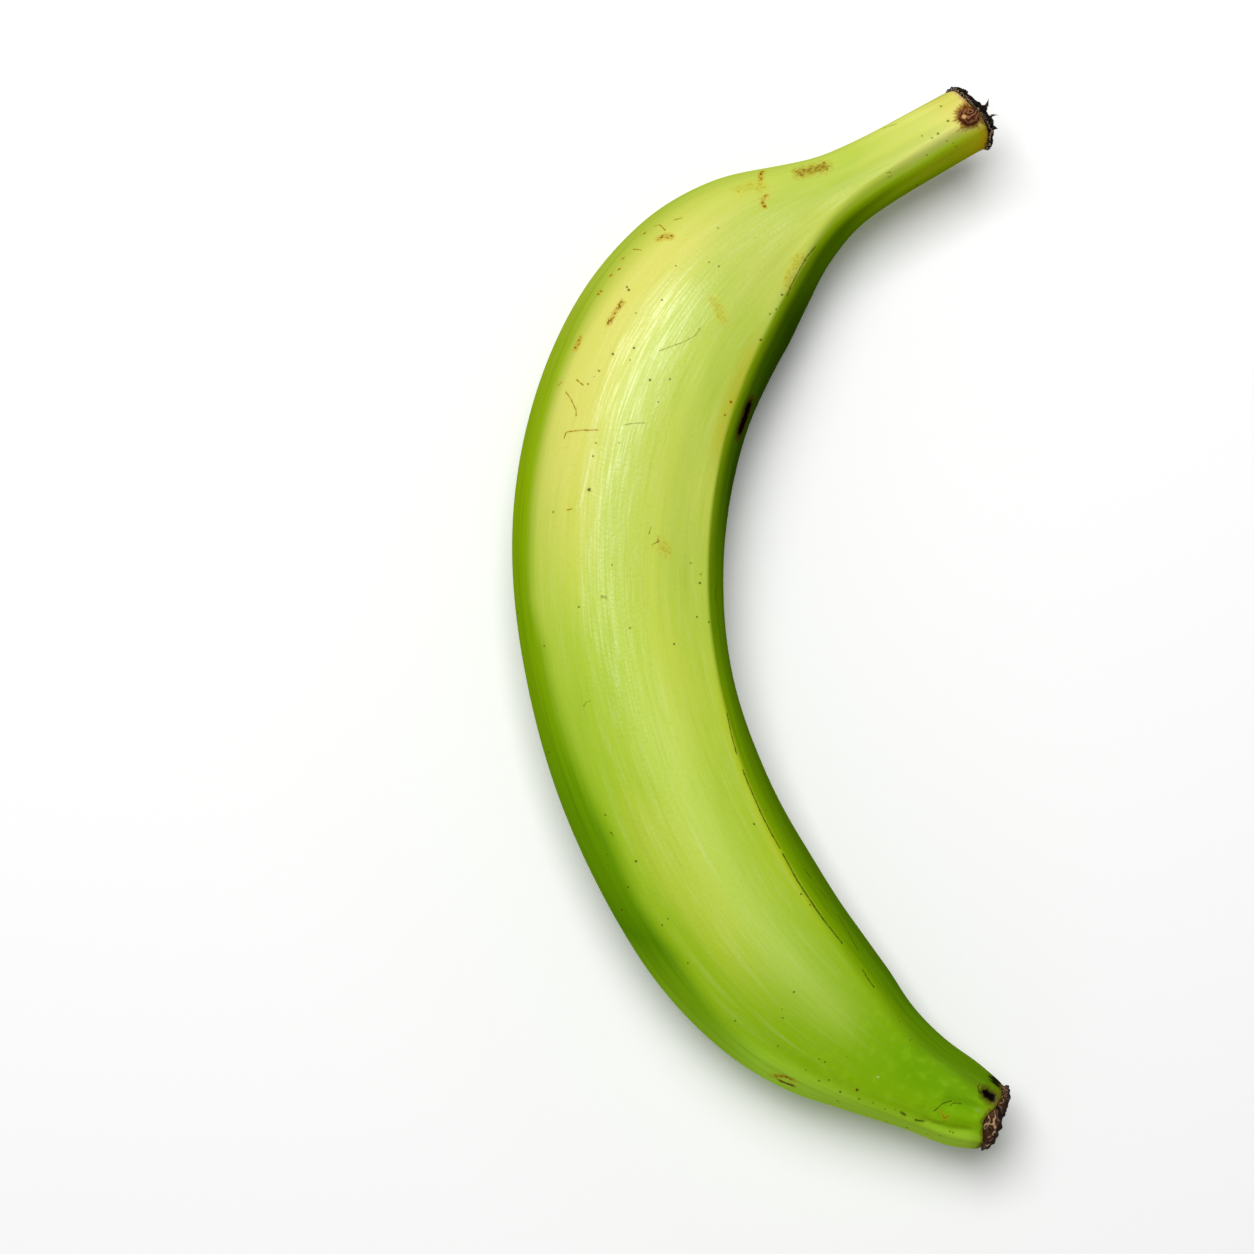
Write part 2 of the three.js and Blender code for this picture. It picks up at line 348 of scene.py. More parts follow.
def along_path(points, path):
    """How far along the path's middle each point lies, how far to its left, and how far off it. The
    first two carry on smoothly past the path's ends."""
    if len(path) == 1:
        path = np.concatenate([path - (0.001, 0, 0), path + (0.001, 0, 0)])
    lengths = np.linalg.norm(np.diff(path, axis=0), axis=1)
    starts = np.concatenate([[0], np.cumsum(lengths)])
    nearest = np.full(len(points), np.inf)
    at = np.zeros((len(points), 3))
    for i, (a, b) in enumerate(zip(path[:-1], path[1:])):
        ahead = (b - a) / lengths[i]
        run = (points - a) @ ahead
        low = -np.inf if i == 0 else 0
        high = np.inf if i == len(lengths) - 1 else lengths[i]
        off_line = points - a - np.clip(run, low, high)[:, None] * ahead
        off_path = np.linalg.norm(points - a - np.clip(run, 0, lengths[i])[:, None] * ahead, axis=1)
        left = np.where(off_line @ np.array((-ahead[1], ahead[0], 0)) > 0, 1, -1)
        closer = off_path < nearest
        nearest[closer] = off_path[closer]
        position = starts[i] + np.clip(run, low, high) - starts[-1] / 2
        sideways = left * np.linalg.norm(off_line, axis=1)
        at[closer] = np.stack([position, sideways, off_path], 1)[closer]
    return at


def neighbour_means(piece, points):
    """The middle of each vertex's neighbours along the piece's edges."""
    ends = np.empty(len(piece.data.edges) * 2, int)
    piece.data.edges.foreach_get("vertices", ends)
    ends = ends.reshape(-1, 2)
    total, count = np.zeros((len(points), 3)), np.zeros(len(points))
    for a, b in ((0, 1), (1, 0)):
        np.add.at(total, ends[:, a], points[ends[:, b]])
        np.add.at(count, ends[:, a], 1)
    return total / np.maximum(count, 1)[:, None]


# The stem's ridges are blunter than the belly's.
BLUNTING_ROUNDS = 16
BLUNTING = 0.6  # the share of the way to its neighbours' middle that a vertex goes in each round
BLUNT_UP_TO, CRISP_FROM = 35, 70  # distances from the stem's end
SPARED_RIM = (0.2, 2.5)
points = points_of(peel)
blunted = BLUNTING * rise(growth(points)[0], CRISP_FROM, BLUNT_UP_TO)
blunted *= rise(from_rims(points)[0], *SPARED_RIM)
for _ in range(BLUNTING_ROUNDS):
    points += blunted[:, None] * (neighbour_means(peel, points) - points)
set_points(peel, points)

unraised, normals = points_of(peel), normals_of(peel)
along, _, _, direction = growth(unraised)
grown = round_and_along(along, direction)
raised = np.zeros(len(unraised))
for height, size, seed in SKIN_SWELLS:
    raised += height * rough(grown, size, seed)
for depth, half_width, where in FOLDS:
    off = along_path(unraised, on_peel(where))[:, 2]
    raised -= depth * np.exp(-((off / half_width) ** 2))
knot = on_peel([KNOT])[0]
from_ring = np.linalg.norm(unraised - knot, axis=1) - KNOT_RING_RADIUS
raised += KNOT_RING_HEIGHT * np.exp(-((from_ring / KNOT_RING_HALF_WIDTH) ** 2))
raised *= np.clip(np.minimum(*from_rims(unraised)), 0, 1)
set_points(peel, unraised + raised[:, None] * normals)

# The marks a fruit picks up while it grows and is handled, by the pixels of the frame that show them.
SPECK_HALF_WIDTHS = (0.15, 0.26)  # the finest and the widest
SPECKS = [
    (941, 106), (948, 121), (932, 138), (922, 136), (947, 141), (953, 143), (956, 146), (927, 155),
    (935, 159), (938, 134), (782, 295), (776, 309), (770, 314), (761, 340), (725, 415), (731, 402),
    (718, 228), (709, 262), (719, 266), (676, 266), (662, 300), (636, 313), (634, 348), (630, 360),
    (613, 354), (599, 371), (588, 384), (650, 380), (670, 379), (658, 402), (596, 443), (619, 443),
    (593, 456), (553, 512), (612, 565), (579, 607), (630, 628), (544, 646), (691, 563), (674, 644),
    (701, 574), (700, 583), (697, 617), (709, 622), (548, 752), (518, 612), (605, 815), (593, 824),
    (591, 836), (611, 833), (613, 836), (607, 855), (608, 864), (636, 861), (628, 887), (622, 910),
    (662, 925), (668, 919), (688, 963), (754, 824), (766, 810), (801, 894), (810, 905), (794, 992),
    (782, 1009), (783, 1018), (735, 1021), (900, 1022), (910, 1040), (819, 1059), (825, 1062),
    (778, 1046), (806, 1070), (819, 1081), (829, 1080), (840, 1092), (838, 1101), (859, 1099),
    (873, 1103), (885, 1109), (886, 1122), (907, 1128), (927, 1134), (940, 1136), (950, 1132),
    (953, 1133), (847, 1057), (978, 1067), (972, 1081), (979, 128), (627, 287), (629, 290),
]
BIG_SPECK_HALF_WIDTH = 0.36
BIG_SPECKS = [(589, 490), (917, 185), (805, 260), (790, 288), (857, 1090)]
HALOED_SPECK_HALF_WIDTH = 0.32
HALOED_SPECKS = [(619, 269), (611, 275), (623, 258), (601, 291), (598, 294), (644, 233), (731, 402)]
SCRATCH_HALF_WIDTH = 0.13
SCRATCHES = [
    [(659, 351), (672, 346), (684, 342), (696, 335), (700, 328)],
    [(624, 425), (634, 423), (645, 423)],
    [(651, 527), (649, 534)],
    [(601, 599), (603, 603), (607, 604), (608, 601)],
    [(584, 706), (586, 702), (590, 701)],
    [(882, 129), (896, 124)],
    [(861, 139), (866, 137)],
    [(887, 173), (891, 172)],
    [(888, 178), (892, 176)],
]
RUSTY_HALF_WIDTH = 0.15
RUSTY_SCRATCHES = [
    [(674, 220), (682, 218)],
    [(633, 249), (641, 250)],
    [(654, 226), (659, 224), (665, 230)],
    [(566, 392), (571, 399), (576, 410), (576, 416)],
    [(577, 380), (583, 385)],
    [(564, 438), (566, 432), (582, 430), (598, 430)],
    [(567, 510), (572, 509)],
    [(562, 382), (558, 386)],
    [(942, 1111), (943, 1119), (949, 1115)],
    [(767, 1075), (776, 1078), (784, 1081)],
    [(962, 126), (957, 132)],
]
SCABS = [  # half width and where, as in the lists that follow
    (0.5, [(762, 171), (760, 181)]),
    (0.4, [(767, 196), (763, 198), (762, 203), (765, 206)]),
    (0.55, [(659, 239), (665, 236), (671, 237)]),
    (0.5, [(580, 338), (576, 348)]),
    (0.5, [(622, 303), (616, 311), (609, 323)]),
    (0.6, [(776, 1076), (784, 1076), (793, 1080)]),
]
STAINS = [
    (0.75, [(966, 106), (974, 107), (981, 112), (984, 120)]),
    (0.6, [(781, 1081), (786, 1083), (792, 1085)]),
]
OLIVE_SCABS = [(1.1, [(800, 173), (812, 170), (824, 167)])]
BLOTCHES = [
    (1.1, [(740, 190), (750, 186), (761, 188)]),
    (0.9, [(714, 300), (719, 311), (723, 320)]),
    (1.0, [(800, 258), (792, 270), (787, 285)]),
    (1.2, [(662, 546), (666, 550)]),
]
BLACK_LINES = [
    (0.16, [(815, 247), (806, 258), (797, 274), (790, 288), (787, 295)]),
    (0.16, [(716, 584), (715, 593), (716, 602)]),
    (0.16, [(727, 713), (731, 733), (737, 754)]),
    (0.18, [(743, 770), (752, 792), (763, 817), (773, 836), (780, 848)]),
    (0.2, [(783, 854), (797, 880), (818, 912), (830, 928), (842, 943)]),
    (0.18, [(863, 970), (868, 979), (874, 987)]),
    (0.15, [(838, 915), (848, 932), (858, 950)]),
    (0.15, [(804, 869), (811, 878)]),
    (0.15, [(820, 889), (827, 899)]),
    (0.32, [(901, 1112), (905, 1115)]),
    (0.32, [(916, 1120), (923, 1122)]),
    (0.13, [(934, 1111), (942, 1104), (952, 1101)]),
    (0.12, [(951, 1106), (954, 1103), (962, 1104)]),
    (0.2, [(980, 1084), (978, 1087), (979, 1092), (982, 1094)]),
]
HOLES = [(1.25, [(987, 1093), (992, 1097)]), (2.2, [(748, 408), (745, 418), (741, 428)])]
PALE_LINES = [
    (0.2, [(878, 1077)]), (0.2, [(640, 388)]), (0.2, [(622, 428)]),
    (0.18, [(592, 450), (587, 475), (580, 506)]),
]
KINDS = {  # core colour and strength, halo colour and strength, how broken up, how frayed
    "speck": ("362C00", 0.8, "8A9014", 0.35, 0.0, 0.5),
    "haloed speck": ("6E4200", 0.85, "C09414", 0.5, 0.3, 0.5),
    "scratch": ("565A00", 0.7, "A8A828", 0.25, 0.5, 0.5),
    "rusty scratch": ("7A5800", 0.8, "BEA01C", 0.4, 0.5, 0.55),
    "scab": ("6C4600", 0.9, "BE981C", 0.55, 0.9, 0.7),
    "stain": ("4A2812", 0.85, "8E5C20", 0.6, 0.2, 0.6),
    "olive scab": ("80600E", 0.85, "A8962C", 0.55, 0.6, 0.9),
    "blotch": ("A8A01C", 0.6, "BEBA3C", 0.35, 0.7, 0.9),
    "black line": ("1E1408", 0.85, "6E7A10", 0.35, 0.35, 0.5),
    "hole": ("0A0604", 1.0, "46280C", 0.7, 0.0, 0.25),
    "pale line": ("F0F2C4", 0.3, "E4EAA0", 0.15, 0.6, 0.5),
}

chance = np.random.default_rng(5)
marks = [("speck", chance.uniform(*SPECK_HALF_WIDTHS), [place]) for place in SPECKS]
marks += [("speck", BIG_SPECK_HALF_WIDTH, [place]) for place in BIG_SPECKS]
marks += [("haloed speck", HALOED_SPECK_HALF_WIDTH, [place]) for place in HALOED_SPECKS]
marks += [("scratch", SCRATCH_HALF_WIDTH, path) for path in SCRATCHES]
marks += [("rusty scratch", RUSTY_HALF_WIDTH, path) for path in RUSTY_SCRATCHES]
for kind, its_marks in [
    ("scab", SCABS), ("stain", STAINS), ("olive scab", OLIVE_SCABS), ("blotch", BLOTCHES),
    ("black line", BLACK_LINES), ("hole", HOLES), ("pale line", PALE_LINES),
]:
    marks += [(kind, half_width, path) for half_width, path in its_marks]

# Marks are finer than the mesh, so each vertex carries its place beside the mark nearest to it, and
# the material draws the mark from that. Marks close together go on different layers.
MARK_LAYERS = 4
MARK_SPACING = 3.4
FAR_OFF = 99.0
paths = [on_peel(path) for _, _, path in marks]
layer_of = []
for i, path in enumerate(paths):
    room = np.full(MARK_LAYERS, np.inf)
    for other, layer in zip(paths, layer_of):
        gap = np.linalg.norm(path[:, None] - other[None], axis=2).min()
        room[layer] = min(room[layer], gap)
    fits = np.flatnonzero(room > MARK_SPACING)
    layer_of.append(int(fits[0]) if len(fits) else int(room.argmax()))


def add_attribute(piece, name, values):
    """Gives each vertex a vector that materials can read by name."""
    made = piece.data.attributes.new(name, "FLOAT_VECTOR", "POINT")
    made.data.foreach_set("vector", np.asarray(values, np.float32).ravel())


kinds = list(KINDS)
for layer in range(MARK_LAYERS):
    at = np.full((len(unraised), 3), FAR_OFF)
    size = np.zeros((len(unraised), 3))
    for (kind, half_width, _), path, its_layer in zip(marks, paths, layer_of):
        if its_layer == layer:
            beside = along_path(unraised, path)
            closer = beside[:, 2] < at[:, 2]
            length = np.linalg.norm(np.diff(path, axis=0), axis=1).sum()
            at[closer] = beside[closer]
            size[closer] = (length / 2, half_width, (kinds.index(kind) + 0.5) / len(kinds))
    add_attribute(peel, f"mark_at_{layer}", at)
    add_attribute(peel, f"mark_size_{layer}", size)


def colour(code, alpha=1.0):
    """The linear colour of an sRGB hex value such as "A8C92A"."""
    parts = [int(code[i : i + 2], 16) / 255 for i in (0, 2, 4)]
    return tuple(p / 12.92 if p <= 0.04045 else ((p + 0.055) / 1.055) ** 2.4 for p in parts) + (alpha,)


def shade_along(at, stops):
    """The colour each vertex takes from a run of colours, by where it stands in that run."""
    shades = np.array([colour(code)[:3] for _, code in stops])
    positions = [position for position, _ in stops]
    return np.stack([np.interp(at, positions, shades[:, i]) for i in range(3)], 1)


def tint(skin, amount, code):
    return skin + np.asarray(amount)[:, None] * (np.array(colour(code)[:3]) - skin)


# The peel's broad colours. The top is pale yellow-green, deeper towards the flower; the inner side face
# is deep green, the outer one a mid green, and both side faces also carry painted shade and painted
# light. Both ends are stained where they were cut or dried.
# Shares run from 0 at the stem's end to 1 at the flower's.
points = points_of(peel)
along, inward, upward, direction = growth(points)
bearing = np.radians(direction)
to_inner, to_top = np.cos(bearing), np.sin(bearing)
grown = round_and_along(along, direction)
from_stem, from_stub = from_rims(points)
share = along / LENGTH + 0.05 * rough(grown, (16, 16, 26), 21)

inner_along, _, _, inner_direction = growth(on_peel(INNER_RIDGE))
outer_along, _, _, outer_direction = growth(on_peel(OUTER_RIDGE))
radius = np.hypot(inward, upward)
past_inner = np.radians(np.interp(along, inner_along, inner_direction) - direction) * radius
past_outer = np.radians(direction - np.interp(along, outer_along, outer_direction)) * radius

top = shade_along(share, [
    (0.0, "E6DE86"), (0.1, "A8BC44"), (0.18, "B8C456"), (0.28, "B8C850"), (0.4, "B4C64C"),
    (0.55, "B0C63C"), (0.72, "A2BC20"), (0.85, "86AC08"), (0.95, "6A9C00"), (1.0, "6C9C04"),
])

# Painted light and shade: the top's outer half is paler and yellower in the upper belly, where it faces
# the lamp, and darker green further down, where it turns away from it.
painted_light_patch = rise(share, 0.14, 0.24) * rise(share, 0.5, 0.36) * rise(to_inner, -0.1, -0.55)
top = tint(top, 0.75 * painted_light_patch, "D6D068")
top = tint(top, 0.6 * rise(share, 0.4, 0.68) * rise(to_inner, 0.1, -0.7), "86B004")

# Faint long patches cover it, with finer mottling on the gathered skin near the flower.
patches = rough(grown, (9, 9, 40), 22) * rise(share, 0.95, 0.7)
top = tint(top, 0.25 * rise(patches, 0.05, 0.5), "CCCE50")
top = tint(top, 0.2 * rise(patches, -0.05, -0.5), "8CB224")
gathered = rise(share, 0.78, 0.92) * rise(rough(points, 1.6, 24), 0.0, 0.6)
top = tint(top, 0.16 * gathered, "A0CC20")

# The lower belly's crest is painted paler, a painted highlight along it, and its ridge is edged with
# olive, as the upper belly's is.
painted_highlight_crest = rise(share, 0.5, 0.64) * rise(share, 0.9, 0.8) * np.exp(-(((to_inner - 0.2) / 0.3) ** 2))
top = tint(top, 0.35 * painted_highlight_crest, "CCE274")
lower_belly = rise(share, 0.5, 0.62) * rise(share, 0.84, 0.7)
top = tint(top, 0.55 * lower_belly * rise(past_inner, -2.2, -1.0), "B0BC10")
upper_belly = rise(share, 0.24, 0.3) * rise(share, 0.42, 0.36)
top = tint(top, 0.65 * upper_belly * rise(past_inner, -4.5, -1.0), "B2AE20")

# The inner face is darkest from about a tenth to a third of the way along: partly its own deep green,
# partly painted shade.
inner_face = shade_along(share, [
    (0.0, "8C9404"), (0.05, "789002"), (0.11, "4A6A00"), (0.22, "385402"), (0.35, "446604"),
    (0.5, "608404"), (0.75, "648A04"), (0.9, "5A8406"), (1.0, "5E8408"),
])

# Just past the ridge the inner face is paler, and low down on the side it is painted darker, painted
# shade along the neck and the lower belly.
inner_face = tint(inner_face, 0.8 * rise(share, 0.2, 0.1) * rise(past_inner, 4.5, 1), "9CBC0A")
neck = rise(share, 0.12, 0.2) * rise(share, 0.56, 0.36)
inner_face = tint(inner_face, 0.85 * neck * rise(past_inner, 5.5, 0.5), "86A40C")
inner_face = tint(inner_face, 0.6 * neck * rise(past_inner, 6, 12), "1E3600")
lower_side = rise(share, 0.45, 0.6) * rise(share, 0.96, 0.84)
inner_face = tint(inner_face, 0.85 * lower_side * rise(past_inner, 6.5, 2), "7AA004")
inner_face = tint(inner_face, 0.4 * lower_side * rise(past_inner, 7, 12), "2C4A00")

# The outer face darkens towards three quarters of the way along, partly its own deeper green and partly
# painted shade, and turns pale beyond it near the flower, painted light.
outer_face = shade_along(share, [
    (0.0, "CCD45C"), (0.14, "BCCC50"), (0.27, "9CB22A"), (0.4, "8AAA08"), (0.62, "72A006"),
    (0.72, "5E8E04"), (0.78, "82B012"), (0.85, "ACDC38"), (1.0, "A6CC3C"),
])
inner_sided = np.where(to_top > 0, past_inner > past_outer, rise(to_inner, -0.3, 0.3))[:, None]
flank = outer_face + inner_sided * (inner_face - outer_face)

# The top turns crisply into the inner face along the belly, and softly elsewhere.
TURNING_STATION = [0, 26, 60, 150, 200, LENGTH]
TURNING = [2.4, 2.2, 0.7, 0.7, 1.5, 2.0]  # half the width of the turn, on the inner side
OUTER_TURNING = 3.0
OUTER_TURN_AT = 0.4
turned_inner = past_inner / np.interp(along, TURNING_STATION, TURNING)
turned_outer = (past_outer - OUTER_TURN_AT) / OUTER_TURNING * (1 - 0.7 * rise(share, 0.36, 0.2))
turned = np.clip(np.maximum(turned_inner, turned_outer), -2, 2)

# The cut stem has yellowed, the peel is stained olive by the stub, and its inner side there is black.
STEM_YELLOWING = 11
yellowed = rise(from_stem, STEM_YELLOWING, 2)
top = tint(top, 0.45 * yellowed, "DCC85C")
flank = tint(flank, 0.5 * yellowed, "A89C10")
flank = tint(flank, 0.55 * rise(from_stem, 3.5, 0.8) * rise(to_inner, -0.2, 0.5), "A8780E")
stub_stain = rise(from_stub + 0.5 * rough(points, 1.0, 23), 3.6, 0.4)
top = tint(top, 0.5 * stub_stain * rise(to_inner, -0.3, 0.3), "8A8A14")
flank = tint(flank, 0.5 * stub_stain, "6E6A12")
blackened = rise(from_stub + 1.3 * rough(points, 0.9, 25), 4.2, 3.2)
blackened *= rise(direction, 30, 20) * rise(direction, -50, -35)
flank = tint(flank, 0.95 * blackened, "140C06")

# Its rim is brown at the stem, tan on the outer side there, and olive at the stub.
tan = rise(to_inner, 0.45, 0.0)[:, None]
rim = np.array(colour("6A4A14")[:3]) * (1 - tan) + np.array(colour("C49A6C")[:3]) * tan
at_stub = (from_stub < from_stem)[:, None]
rim = np.where(at_stub, np.array(colour("5E5A14")[:3]), rim)

# The fibres show through along the top, but not towards its edges and ends. The same mask places the
# painted highlight: whitish streaks where the lamp's shine falls.
LENGTHWISE = 24  # fibres are this many times longer than they are wide
fibres_and_sheen = rise(share, 0.06, 0.2) * rise(share, 0.95, 0.78)
fibres_and_sheen *= rise(to_top, 0.2, 0.7) * rise(turned, 0.0, -1.0)
for name, shade in (("top", top), ("flank", flank), ("rim", rim)):
    add_attribute(peel, name, shade)
add_attribute(peel, "place", np.stack([turned, fibres_and_sheen, np.minimum(from_stem, from_stub)], 1))
add_attribute(peel, "fibrewise", grown / (1, 1, LENGTHWISE))


def add_node(tree, kind, inputs=None, output=0, stops=(), **settings):
    """Adds a node, sets what it is told to, fills or links its inputs and gives back an output."""
    made = tree.nodes.new("ShaderNode" + kind)
    for name, value in settings.items():
        setattr(made, name, value)
    for socket, value in (inputs or {}).items():
        if isinstance(value, bpy.types.NodeSocket):
            tree.links.new(value, made.inputs[socket])
        else:
            made.inputs[socket].default_value = value
    for i, (position, shade) in enumerate(stops):
        ramp = made.color_ramp
        stop = ramp.elements[i] if i < 2 else ramp.elements.new(position)
        stop.position, stop.color = position, shade
    return made.outputs if output is None else made.outputs[output]


def new_material(name):
    material = bpy.data.materials.new(name)
    material.use_nodes = True
    material.node_tree.nodes.clear()
    return material, material.node_tree


def in_millimetres(tree):
    """The place on the piece that is being shaded, in millimetres."""
    place = add_node(tree, "TexCoord", output="Object")
    return add_node(tree, "VectorMath", {0: place, 3: 1 / MM}, operation="SCALE")


softly = {"interpolation_type": "SMOOTHSTEP"}
as_colour = {"data_type": "RGBA"}


def lay_over(tree, under, over, source, low, high, strength=1.0):
    """Covers one colour with another, the more so the further the source is from low to high."""
    shown = add_node(tree, "MapRange", {0: source, 1: low, 2: high, 4: strength}, **softly)
    return add_node(tree, "Mix", {0: shown, 6: under, 7: over}, 2, **as_colour)


# Waxy green peel: living skin under a thin natural wax, which gives a soft shine along the crest. The
# fine lengthwise fibres under it break the shine up and show as darker streaks, and paler streaks along
# the top are painted highlight. The knot and the marks are dull.
material, tree = new_material("waxy_green_peel")
top, flank, rim = (
    add_node(tree, "Attribute", output="Color", attribute_name=name) for name in ("top", "flank", "rim")
)
fibrewise = add_node(tree, "Attribute", output="Vector", attribute_name="fibrewise")
place = add_node(tree, "Attribute", output="Vector", attribute_name="place")
turned, fibres_and_sheen, from_rim = add_node(tree, "SeparateXYZ", {0: place}, output=None)
here = in_millimetres(tree)

streak, fine, pits, ragged, bits = (
    add_node(tree, "TexNoise", {
        "Vector": at, "Scale": 1 / width, "Detail": detail, "Roughness": roughness,
    })
    for at, width, detail, roughness in [
        (fibrewise, 1.111, 3, 0.6),  # streaks
        (fibrewise, 0.3846, 2, 0.5),  # single fibres
        (here, 0.7692, 2, 0.5),  # pits in the wax
        (here, 0.9091, 3, 0.6),  # the frays of stained and marked edges
        (here, 0.625, 2, 0.6),  # the bits that scabs and scratches are broken into
    ]
)

# Streaks darken the side faces. On the top they are darker among fibres and pits, and the paler streaks
# and fibres are painted highlight.
dark = add_node(tree, "MapRange", {0: streak, 1: 0.52, 2: 0.3, 4: 0.28}, **softly)
flank = add_node(
    tree, "Mix", {0: dark, 6: flank, 7: colour("A0B468")}, 2, blend_type="MULTIPLY", **as_colour
)
skin = lay_over(tree, top, flank, turned, -1.0, 1.0)
for source, low, high, strength, code, blend in [
    (streak, 0.52, 0.72, 0.08, "E8EEB0", "MIX"),
    (fine, 0.55, 0.75, 0.045, "EEF2BC", "MIX"),
    (streak, 0.48, 0.28, 0.14, "BCD070", "MULTIPLY"),
    (pits, 0.42, 0.3, 0.08, "B4C860", "MULTIPLY"),
]:
    shown = add_node(tree, "MapRange", {0: source, 1: low, 2: high, 4: strength}, **softly)
    shown = add_node(tree, "Math", {0: shown, 1: fibres_and_sheen}, operation="MULTIPLY")
    skin = add_node(
        tree, "Mix", {0: shown, 6: skin, 7: colour(code)}, 2, blend_type=blend, **as_colour
    )

# The peel's rims are stained, in a line about a millimetre wide with a ragged edge.
edge = add_node(tree, "Math", {0: ragged, 1: 2.4, 2: from_rim}, operation="MULTIPLY_ADD")
skin = lay_over(tree, skin, rim, edge, 2.4, 1.5, 0.85)

# The knot is a round brown scar, ringed off-centre like an onion, with a tan spot and a spiky ochre
# fringe.
from_knot = add_node(tree, "VectorMath", {0: here, 1: tuple(knot)}, operation="SUBTRACT")
gap = add_node(tree, "VectorMath", {0: from_knot}, 1, operation="LENGTH")
ray = add_node(tree, "VectorMath", {0: from_knot}, operation="NORMALIZE")
spiky = add_node(tree, "TexNoise", {"Vector": ray, "Scale": 5.0, "Detail": 2, "Roughness": 0.7})
rings_middle = on_peel([RINGS_MIDDLE])[0]
from_middle = add_node(tree, "VectorMath", {0: here, 1: tuple(rings_middle)}, operation="SUBTRACT")
rings = add_node(
    tree, "TexWave",
    {"Vector": from_middle, "Scale": 0.36, "Distortion": 9.0, "Detail": 3, "Detail Scale": 1.6}, 1,
    wave_type="RINGS", rings_direction="SPHERICAL",
)
brown = add_node(
    tree, "ValToRGB", {0: rings},
    stops=[(0.1, colour("401E0C")), (0.6, colour("5A331C")), (0.95, colour("805C42"))],
)
ring_radius = add_node(tree, "VectorMath", {0: from_middle}, 1, operation="LENGTH")
brown = lay_over(tree, brown, colour("421E08"), ring_radius, 1.4, 2.8, 0.65)
reach = add_node(tree, "Math", {0: spiky, 1: -3.6, 2: gap}, operation="MULTIPLY_ADD")
skin = lay_over(tree, skin, colour("7E4610"), reach, 2.0, 0.7, 0.85)
reach = add_node(tree, "Math", {0: spiky, 1: -1.0, 2: gap}, operation="MULTIPLY_ADD")
body = add_node(tree, "MapRange", {0: reach, 1: 2.1, 2: 1.7}, **softly)
skin = add_node(tree, "Mix", {0: body, 6: skin, 7: brown}, 2, **as_colour)
tan_spot = on_peel([TAN_SPOT])[0]
gap = add_node(tree, "VectorMath", {0: here, 1: tuple(tan_spot)}, 1, operation="DISTANCE")
skin = lay_over(tree, skin, colour("C89A5C"), gap, 0.75, 0.35, 0.9)

# Each mark has a core and a wider halo. Their colours, how broken up the core is and how frayed both
# are come from ramps with a step for each kind.
STRAY = 2.2  # how far a fully frayed edge strays, in half widths of the mark
TRUSTED, LOST = 1.0, 1.5  # past its half width, how far a mark is drawn in full, and at all
cores, halos, manners = [], [], []
for i, (core, core_strength, halo, halo_strength, broken, frayed) in enumerate(KINDS.values()):
    cores.append((i / len(KINDS), colour(core, core_strength)))
    halos.append((i / len(KINDS), colour(halo, halo_strength)))
    manners.append((i / len(KINDS), (broken, frayed, 0, 1)))
wobble = add_node(tree, "MapRange", {0: ragged, 3: -STRAY, 4: STRAY})
whole = add_node(tree, "MapRange", {0: bits, 1: 0.48, 2: 0.56}, **softly)
dull = body
for layer in range(MARK_LAYERS):
    at = add_node(tree, "Attribute", output="Vector", attribute_name=f"mark_at_{layer}")
    size = add_node(tree, "Attribute", output="Vector", attribute_name=f"mark_size_{layer}")
    run, sideways, near = add_node(tree, "SeparateXYZ", {0: at}, output=None)
    half_length, half_width, kind = add_node(tree, "SeparateXYZ", {0: size}, output=None)
    run = add_node(tree, "Math", {0: run}, operation="ABSOLUTE")
    run = add_node(tree, "Math", {0: run, 1: half_length}, operation="SUBTRACT")
    run = add_node(tree, "Math", {0: run, 1: 0.0}, operation="MAXIMUM")
    off = add_node(tree, "CombineXYZ", {0: run, 1: sideways})
    off = add_node(tree, "VectorMath", {0: off}, 1, operation="LENGTH")
    off = add_node(tree, "Math", {0: off, 1: half_width}, operation="DIVIDE")
    manner = add_node(tree, "ValToRGB", {0: kind}, stops=manners)
    manner.node.color_ramp.interpolation = "CONSTANT"
    broken, frayed, _ = add_node(tree, "SeparateXYZ", {0: manner}, output=None)
    off = add_node(tree, "Math", {0: frayed, 1: wobble, 2: off}, operation="MULTIPLY_ADD")
    lost = add_node(tree, "Math", {0: half_width, 1: LOST}, operation="ADD")
    trusted = add_node(tree, "Math", {0: half_width, 1: TRUSTED}, operation="ADD")
    real = add_node(tree, "MapRange", {0: near, 1: lost, 2: trusted}, **softly)
    for stops, outer, inner in [(halos, 2.4, 0.8), (cores, 1.15, 0.55)]:
        paint = add_node(tree, "ValToRGB", {0: kind}, None, stops=stops)
        paint[0].node.color_ramp.interpolation = "CONSTANT"
        shown = add_node(tree, "MapRange", {0: off, 1: outer, 2: inner}, **softly)
        for factor in (real, paint[1]):
            shown = add_node(tree, "Math", {0: shown, 1: factor}, operation="MULTIPLY")
        if stops is cores:
            kept = add_node(tree, "Mix", {0: broken, 2: 1.0, 3: whole})
            shown = add_node(tree, "Math", {0: shown, 1: kept}, operation="MULTIPLY")
            dull = add_node(tree, "Math", {0: dull, 1: shown}, operation="MAXIMUM")
        skin = add_node(tree, "Mix", {0: shown, 6: skin, 7: paint[0]}, 2, **as_colour)

